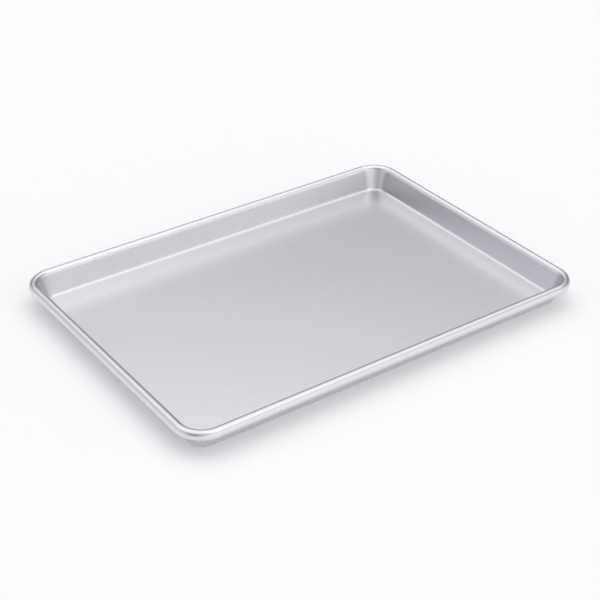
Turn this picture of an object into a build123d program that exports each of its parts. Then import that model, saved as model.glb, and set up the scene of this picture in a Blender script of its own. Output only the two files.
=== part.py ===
from build123d import *

import os
from math import cos, radians, sin, tan

# Jelly roll pan, 18 by 13 inches over its rim and 1 inch deep.
#
# One aluminium blank is drawn into a shallow tray with leaning walls and round corners. Its edge
# is rolled outward and down round a steel wire, until the cut end of the sheet lies close under
# the wall. The wire runs right round the rim and stiffens it.
#
# Millimetres, +Z up. The origin is the middle of the underside, and the length lies along X.

# Driving dimensions of the tray
length = 457.2  # over the rim's outermost edges, as are the width and the corner radius
width = 330.2
corner_radius = 30.0
depth = 25.4  # from the top of the rim down to the food side of the floor
sheet = 1.0

# Driving dimensions of the section through a wall and its rim
wall_draft = 15.5  # degrees that the wall leans outward from upright
floor_bend_radius = 3.0  # food side, between the floor and the wall
bead_radius = 5.0  # outside of the rolled rim
roll_under = 151.0  # degrees that the sheet turns past the rim's outermost point

# Driving dimensions of the wire inside the rim
wire_radius = 3.175  # a quarter inch across
wire_fit = 0.05  # gap between the wire and the bottom of the roll, where the wire lies
wire_butt_gap = 2.0  # the wire's two cut ends face each other in the middle of one long side

# Worked out: the section's heights and turns
height = depth + sheet
lean = 90.0 - wall_draft
bead_height = height - bead_radius
wall_top = bead_height + bead_radius * sin(radians(wall_draft))
wall_foot = sheet + floor_bend_radius * (1 - sin(radians(wall_draft)))
wall_length = (wall_top - wall_foot) / cos(radians(wall_draft))
roll_turn = lean + 90.0 + roll_under

# Worked out: how far the flat floor ends inside the rim's outer edge
wall_run = (wall_top - wall_foot) * tan(radians(wall_draft))
bends_run = (bead_radius + floor_bend_radius) * cos(radians(wall_draft))
floor_inset = bead_radius + wall_run + bends_run
floor_length = length - 2 * floor_inset
floor_width = width - 2 * floor_inset
floor_corner_radius = corner_radius - floor_inset

# Worked out: the upright axis that each corner is turned about, and the wire's line
corner_x = length / 2 - corner_radius
corner_y = width / 2 - corner_radius
wire_x = length / 2 - bead_radius
wire_y = width / 2 - bead_radius
wire_height = height - 2 * bead_radius + sheet + wire_fit + wire_radius

os.makedirs("parts", exist_ok=True)


def sheet_surface(start, under):
    """Draws one surface of the sheet, from the flat floor to the cut edge under the rim.

    under is how far the surface lies under the food side: 0 or the sheet's thickness.
    Returns the point where the surface ends.
    """
    floor_bend = JernArc(start, (1, 0), floor_bend_radius + under, lean)
    wall = Line(floor_bend @ 1, floor_bend @ 1 + wall_length * (floor_bend % 1))
    roll = JernArc(wall @ 1, wall % 1, bead_radius - under, -roll_turn)
    return roll @ 1


def wall_outline(floor_edge):
    """Draws the outline of a wall and its rim, with the flat floor ending at floor_edge."""
    food_side = (floor_edge, sheet)
    underside = (floor_edge, 0)
    food_side_end = sheet_surface(food_side, 0)
    underside_end = sheet_surface(underside, sheet)
    Line(food_side_end, underside_end)
    Line(underside, food_side)


# The pan: a quarter of the walls is drawn and mirrored twice, and the floor closes the ring. Each
# corner is turned about one upright axis, so the floor bend, the wall and the bead run round it
# as one surface.
with BuildPart() as pan_body:
    with BuildSketch(Plane.XZ.offset(-corner_y)) as end_wall_section:
        with BuildLine():
            wall_outline(floor_length / 2)
        make_face()
    extrude(end_wall_section.sketch, amount=corner_y)
    revolve(
        end_wall_section.sketch,
        axis=Axis((corner_x, corner_y, 0), (0, 0, 1)),
        revolution_arc=90,
    )
    with BuildSketch(Plane.YZ.offset(corner_x)) as side_wall_section:
        with BuildLine():
            wall_outline(floor_width / 2)
        make_face()
    extrude(side_wall_section.sketch, amount=-corner_x)
    mirror(about=Plane.XZ)
    mirror(about=Plane.YZ)
    with BuildSketch(Plane.XY) as floor_outline:
        RectangleRounded(floor_length, floor_width, floor_corner_radius)
    extrude(floor_outline.sketch, amount=sheet)
pan_body.part.label = "pan_body"

# The rim wire: one length of round wire bent to the rim's shape, its two ends butted
with BuildPart() as rim_wire:
    with BuildLine(Plane.XY.offset(wire_height)) as wire_line:
        FilletPolyline(
            (wire_butt_gap / 2, wire_y),
            (wire_x, wire_y),
            (wire_x, -wire_y),
            (-wire_x, -wire_y),
            (-wire_x, wire_y),
            (-wire_butt_gap / 2, wire_y),
            radius=corner_radius - bead_radius,
        )
    with BuildSketch(Plane(wire_line.line @ 0, z_dir=wire_line.line % 0)):
        Circle(wire_radius)
    sweep(path=wire_line.line)
rim_wire.part.label = "rim_wire"

for piece in (pan_body, rim_wire):
    export_step(piece.part, f"parts/{piece.part.label}.step")

print(f"flat floor {floor_length:.1f} by {floor_width:.1f}, corner radius {floor_corner_radius:.2f}")
print(f"wire {sum(edge.length for edge in wire_line.edges()):.1f} long")
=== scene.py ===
from math import cos, hypot, radians, sin

import bpy
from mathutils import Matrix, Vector


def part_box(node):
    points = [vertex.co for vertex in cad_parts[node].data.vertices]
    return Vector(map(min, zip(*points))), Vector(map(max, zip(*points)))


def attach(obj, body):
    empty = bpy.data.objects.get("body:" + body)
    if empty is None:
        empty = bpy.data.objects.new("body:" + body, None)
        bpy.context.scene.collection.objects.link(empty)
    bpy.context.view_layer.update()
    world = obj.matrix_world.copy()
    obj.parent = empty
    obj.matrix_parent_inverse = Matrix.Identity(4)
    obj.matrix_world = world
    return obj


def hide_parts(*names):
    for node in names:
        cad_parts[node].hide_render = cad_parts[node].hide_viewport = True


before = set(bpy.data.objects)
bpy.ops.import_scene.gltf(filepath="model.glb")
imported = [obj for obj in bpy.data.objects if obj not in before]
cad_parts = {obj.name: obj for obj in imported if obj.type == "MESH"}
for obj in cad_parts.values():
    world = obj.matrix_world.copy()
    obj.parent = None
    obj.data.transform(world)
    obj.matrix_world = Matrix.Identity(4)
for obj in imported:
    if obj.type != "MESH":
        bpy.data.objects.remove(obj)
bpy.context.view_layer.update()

# Pan body: one blank of aluminium sheet, drawn into a shallow tray with leaning walls and round
# corners. Its edge is rolled outward and down round the rim wire, until the cut end of the sheet
# lies close under the wall. The food side is made first, then the sheet gets its thickness.
sheet = 0.001
corner_radius = 0.030
wall_lean = radians(74.5)  # the turn from the flat floor up into the wall
floor_bend_radius = 0.003
bead_radius = 0.005
roll_under = radians(151)  # turned past the rim's outermost point
roll_turn = wall_lean + radians(90) + roll_under
bend_steps = 14
roll_steps = 63
corner_steps = 30
crease = radians(40)  # edges sharper than this, which are the sheet's cut edges, stay sharp
seam = 0.0005  # width of the narrow strips where a bend meets a straight
nearly = 1e-6  # places this close to each other count as one

# The section's bends and straights, drawn where an end wall meets a corner's axis
half_length, half_width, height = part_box("pan_body")[1]
corner_x = half_length - corner_radius
corner_y = half_width - corner_radius
along_wall = Vector((cos(wall_lean), 0, sin(wall_lean)))
off_wall = Vector((-sin(wall_lean), 0, cos(wall_lean)))
roll_centre = Vector((half_length - bead_radius, corner_y, height - bead_radius))
wall_top = roll_centre + bead_radius * off_wall
wall_foot_rise = floor_bend_radius * (1 - cos(wall_lean))
wall_length = (wall_top.z - sheet - wall_foot_rise) / sin(wall_lean)
bend_centre = wall_top - wall_length * along_wall + floor_bend_radius * off_wall
floor_end = bend_centre - Vector((0, 0, floor_bend_radius))
floor_corner_radius = floor_end.x - corner_x


def select_where(mesh, wanted):
    """In edit mode, selects the vertices of the mesh whose places are wanted, and no others."""
    bpy.ops.mesh.select_mode(type="VERT")
    bpy.ops.mesh.select_all(action="DESELECT")
    bpy.ops.object.mode_set(mode="OBJECT")
    for vertex in mesh.vertices:
        vertex.select = wanted(vertex.co)
    bpy.ops.object.mode_set(mode="EDIT")


def pull(way):
    """Extrudes what is selected along a vector. Short first and last steps keep the shading of
    the bends out of the straight between them."""
    short = seam * way.normalized()
    for step in (short, way - 2 * short, short):
        bpy.ops.mesh.extrude_region_move(TRANSFORM_OT_translate={"value": step})


# The section: a point on the floor's edge is turned round the floor bend, pulled up the wall and
# turned round the roll. The section is then turned round the corner, and the two open edges of
# the corner are pulled to the middle of the pan.
bpy.ops.object.select_all(action="DESELECT")
bpy.ops.mesh.primitive_plane_add(size=seam)
pan = bpy.context.object
pan.name = "pan"
bpy.ops.object.mode_set(mode="EDIT")
bpy.ops.mesh.merge(type="CENTER")
bpy.ops.transform.translate(value=floor_end - Vector((seam, 0, 0)))
bpy.ops.mesh.extrude_region_move(TRANSFORM_OT_translate={"value": (seam, 0, 0)})
bpy.ops.mesh.spin(steps=bend_steps, angle=wall_lean, center=bend_centre, axis=(0, 1, 0))
pull(wall_length * along_wall)
bpy.ops.mesh.spin(steps=roll_steps, angle=-roll_turn, center=roll_centre, axis=(0, 1, 0))
bpy.ops.mesh.select_all(action="SELECT")
corner_axis = (corner_x, corner_y, 0)
bpy.ops.mesh.spin(steps=corner_steps, angle=-radians(90), center=corner_axis, axis=(0, 0, 1))
select_where(pan.data, lambda place: abs(place.x - corner_x) < nearly)
pull(Vector((-corner_x, 0, 0)))
select_where(pan.data, lambda place: abs(place.y - corner_y) < nearly and place.x > corner_x)
pull(Vector((0, -corner_y, 0)))
bpy.ops.object.mode_set(mode="OBJECT")

mirror = pan.modifiers.new("other three quarters", "MIRROR")
mirror.use_axis = (True, True, False)
mirror.merge_threshold = nearly
bpy.ops.object.modifier_apply(modifier=mirror.name)


def in_the_floor(place):
    """True on the inner edge of the strip round the floor, where the flat floor is filled in."""
    outside_x = max(abs(place.x) - corner_x, 0)
    outside_y = max(abs(place.y) - corner_y, 0)
    return hypot(outside_x, outside_y) < floor_corner_radius - seam / 2


bpy.ops.object.mode_set(mode="EDIT")
select_where(pan.data, in_the_floor)
bpy.ops.mesh.edge_face_add()
bpy.ops.mesh.select_all(action="SELECT")
bpy.ops.mesh.remove_doubles(threshold=nearly)
bpy.ops.mesh.normals_make_consistent(inside=False)
bpy.ops.object.mode_set(mode="OBJECT")

thickness = pan.modifiers.new("sheet", "SOLIDIFY")
thickness.thickness = sheet
thickness.offset = -1
thickness.use_even_offset = True
thickness.use_quality_normals = True
bpy.ops.object.modifier_apply(modifier=thickness.name)
bpy.ops.object.shade_smooth_by_angle(angle=crease)

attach(pan, "root")
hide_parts("pan_body")


class Shade:
    """One output of a shader node. Sums and products of outputs add Math nodes."""

    def __init__(self, tree, output=None):
        self.tree = tree
        self.output = output

    def node(self, kind, settings=None, sockets=None, output=0):
        """Adds a node of a kind, makes its settings, then fills its sockets with values or
        links. Gives the output of that name or number, where the node has outputs."""
        added = self.tree.nodes.new(kind)
        for name, setting in (settings or {}).items():
            setattr(added, name, setting)
        for name, value in (sockets or {}).items():
            if isinstance(value, Shade):
                self.tree.links.new(value.output, added.inputs[name])
            else:
                added.inputs[name].default_value = value
        return Shade(self.tree, added.outputs[output] if added.outputs else None)

    def __add__(self, other):
        return self.node("ShaderNodeMath", {"operation": "ADD"}, {0: self, 1: other})

    def __mul__(self, other):
        return self.node("ShaderNodeMath", {"operation": "MULTIPLY"}, {0: self, 1: other})

    __radd__ = __add__
    __rmul__ = __mul__


def new_material(name):
    """Makes an empty material. Gives it and a start for its nodes."""
    material = bpy.data.materials.new(name)
    material.use_nodes = True
    material.node_tree.nodes.clear()
    return material, Shade(material.node_tree)


# Satin aluminium. The mill's rolls leave a fine streaky grain along the blank's length, and the
# satin finish a faint cloudiness.
satin_aluminium, start = new_material("satin aluminium")
place = start.node("ShaderNodeTexCoord", output="Object")
cloud = start.node("ShaderNodeTexNoise", sockets={"Vector": place, "Scale": 14.0, "Detail": 2.0})
streaks = (0.25, 1, 1)  # four times as long as they are wide
stretched = start.node("ShaderNodeMapping", sockets={"Vector": place, "Scale": streaks})
grain = start.node(
    "ShaderNodeTexNoise", sockets={"Vector": stretched, "Scale": 650.0, "Detail": 1.0}
)
shine = 0.3 * cloud + 0.7 * grain
dull = (0.69, 0.695, 0.705, 1)
clear = (0.785, 0.79, 0.80, 1)
colour = start.node("ShaderNodeMix", {"data_type": "RGBA"}, {0: shine, 6: dull, 7: clear}, 2)
relief = start.node(
    "ShaderNodeBump", sockets={"Height": grain, "Strength": 0.03, "Distance": 0.00005}
)
surface = start.node("ShaderNodeBsdfPrincipled", sockets={
    "Base Color": colour,
    "Metallic": 1.0,
    "Roughness": 0.2725 + 0.015 * grain,
    "Normal": relief,
})
start.node("ShaderNodeOutputMaterial", sockets={"Surface": surface})
pan.data.materials.append(satin_aluminium)

# Rim wire: round steel wire with a bright zinc coat, bent to the rim's shape with its two cut
# ends butted in the middle of one long side. The roll of the sheet grips it. Its shape is right
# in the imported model, so only its finish is made here.
rim_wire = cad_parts["rim_wire"]
zinc_coat, start = new_material("zinc coat")
place = start.node("ShaderNodeTexCoord", output="Object")
spangle = start.node("ShaderNodeTexNoise", sockets={"Vector": place, "Scale": 300.0, "Detail": 2.0})
pale = (0.56, 0.57, 0.59, 1)
dull = (0.42, 0.43, 0.45, 1)
colour = start.node("ShaderNodeMix", {"data_type": "RGBA"}, {0: spangle, 6: dull, 7: pale}, 2)
surface = start.node("ShaderNodeBsdfPrincipled", sockets={
    "Base Color": colour,
    "Metallic": 1.0,
    "Roughness": 0.3 + 0.2 * spangle,
})
start.node("ShaderNodeOutputMaterial", sockets={"Surface": surface})
for material_slot in rim_wire.material_slots:
    material_slot.material = zinc_coat

# The studio's floor: a plain white surface that takes the pan's shadow. What the lamps leave
# short of white is made up for rays that come straight from the camera or off the metal.
floor_side = 40
floor_squares = 10
bpy.ops.object.select_all(action="DESELECT")
bpy.ops.mesh.primitive_grid_add(
    x_subdivisions=floor_squares, y_subdivisions=floor_squares, size=floor_side
)
ground = bpy.context.object
ground.name = "floor"
floor_white, start = new_material("floor white")
camera_ray = start.node("ShaderNodeLightPath", output="Is Camera Ray")
glossy_ray = start.node("ShaderNodeLightPath", output="Is Glossy Ray")
transmission_ray = start.node("ShaderNodeLightPath", output="Is Transmission Ray")
paint = start.node("ShaderNodeBsdfDiffuse", sockets={"Color": (0.94, 0.94, 0.94, 1)})
made_up = 0.12 * (camera_ray + glossy_ray + transmission_ray)
glow = start.node("ShaderNodeEmission", sockets={"Strength": made_up})
surface = start.node("ShaderNodeAddShader", sockets={0: paint, 1: glow})
start.node("ShaderNodeOutputMaterial", sockets={"Surface": surface})
ground.data.materials.append(floor_white)

# The studio's light: a wide soft light hangs over the pan, a little behind it, with a small lamp
# beside it on the right. Low down, soft light comes from the right and from the left, and the
# rest of the room is dim. The light from the left and the dim room are a little cool.
camera_azimuth = radians(-35.227)
world = bpy.data.worlds.new("studio")
world.use_nodes = True
world.node_tree.nodes.clear()
bpy.context.scene.world = world
start = Shade(world.node_tree)
direction = start.node("ShaderNodeTexCoord", output="Generated")


def glow_towards(turn, rise, core, reach):
    """How near a direction of the room is to one of its soft lights: 1 inside its core, 0 past
    its reach. The light stands turned left from straight behind the pan, and risen from the
    floor. All are angles in degrees."""
    heading = radians(90 + turn) + camera_azimuth
    rise = radians(rise)
    middle = (cos(heading) * cos(rise), sin(heading) * cos(rise), sin(rise))
    nearness = start.node(
        "ShaderNodeVectorMath", {"operation": "DOT_PRODUCT"}, {0: direction, 1: middle}, "Value"
    )
    return start.node("ShaderNodeMapRange", {"interpolation_type": "SMOOTHSTEP"}, {
        "Value": nearness, "From Min": cos(radians(reach)), "From Max": cos(radians(core)),
    })


overhead = glow_towards(14, 73, 31, 51)
lamp = glow_towards(254, 63, 0, 20)
right = glow_towards(231, -11, 0, 93)
left = glow_towards(98, -2, 0, 65)
room = 0.28 + 0.95 * overhead + 0.65 * lamp + 0.93 * right + 0.63 * left
neutral = overhead + right
cool = (0.955, 0.98, 1.055, 1)
white = (1, 1, 1, 1)
tint = start.node("ShaderNodeMix", {"data_type": "RGBA"}, {0: neutral, 6: cool, 7: white}, 2)
light = start.node("ShaderNodeBackground", sockets={"Color": tint, "Strength": room})
start.node("ShaderNodeOutputWorld", sockets={"Surface": light})
bpy.context.scene.view_settings.view_transform = "Standard"

# The camera: a long lens that looks down on the pan from beyond its front left corner. It is
# aimed a little under the middle of the rim, so that the pan stands where the photograph has it.
camera_elevation = radians(32.071)
camera_distance = 1.4085
aim_left_of_middle = 0.00028
aim_under_middle = 0.01774
towards_camera = Vector((
    sin(camera_azimuth) * cos(camera_elevation),
    -cos(camera_azimuth) * cos(camera_elevation),
    sin(camera_elevation),
))
picture_right = Vector((cos(camera_azimuth), sin(camera_azimuth), 0))
picture_up = towards_camera.cross(picture_right)
aim = Vector((0, 0, roll_centre.z))
aim -= aim_left_of_middle * picture_right + aim_under_middle * picture_up
bpy.ops.object.select_all(action="DESELECT")
bpy.ops.object.camera_add(location=aim + camera_distance * towards_camera)
camera = bpy.context.object
camera.name = "camera"
camera.rotation_euler = (-towards_camera).to_track_quat("-Z", "Y").to_euler()
camera.data.lens = 84.6
camera.data.sensor_width = 36.0
bpy.context.scene.camera = camera
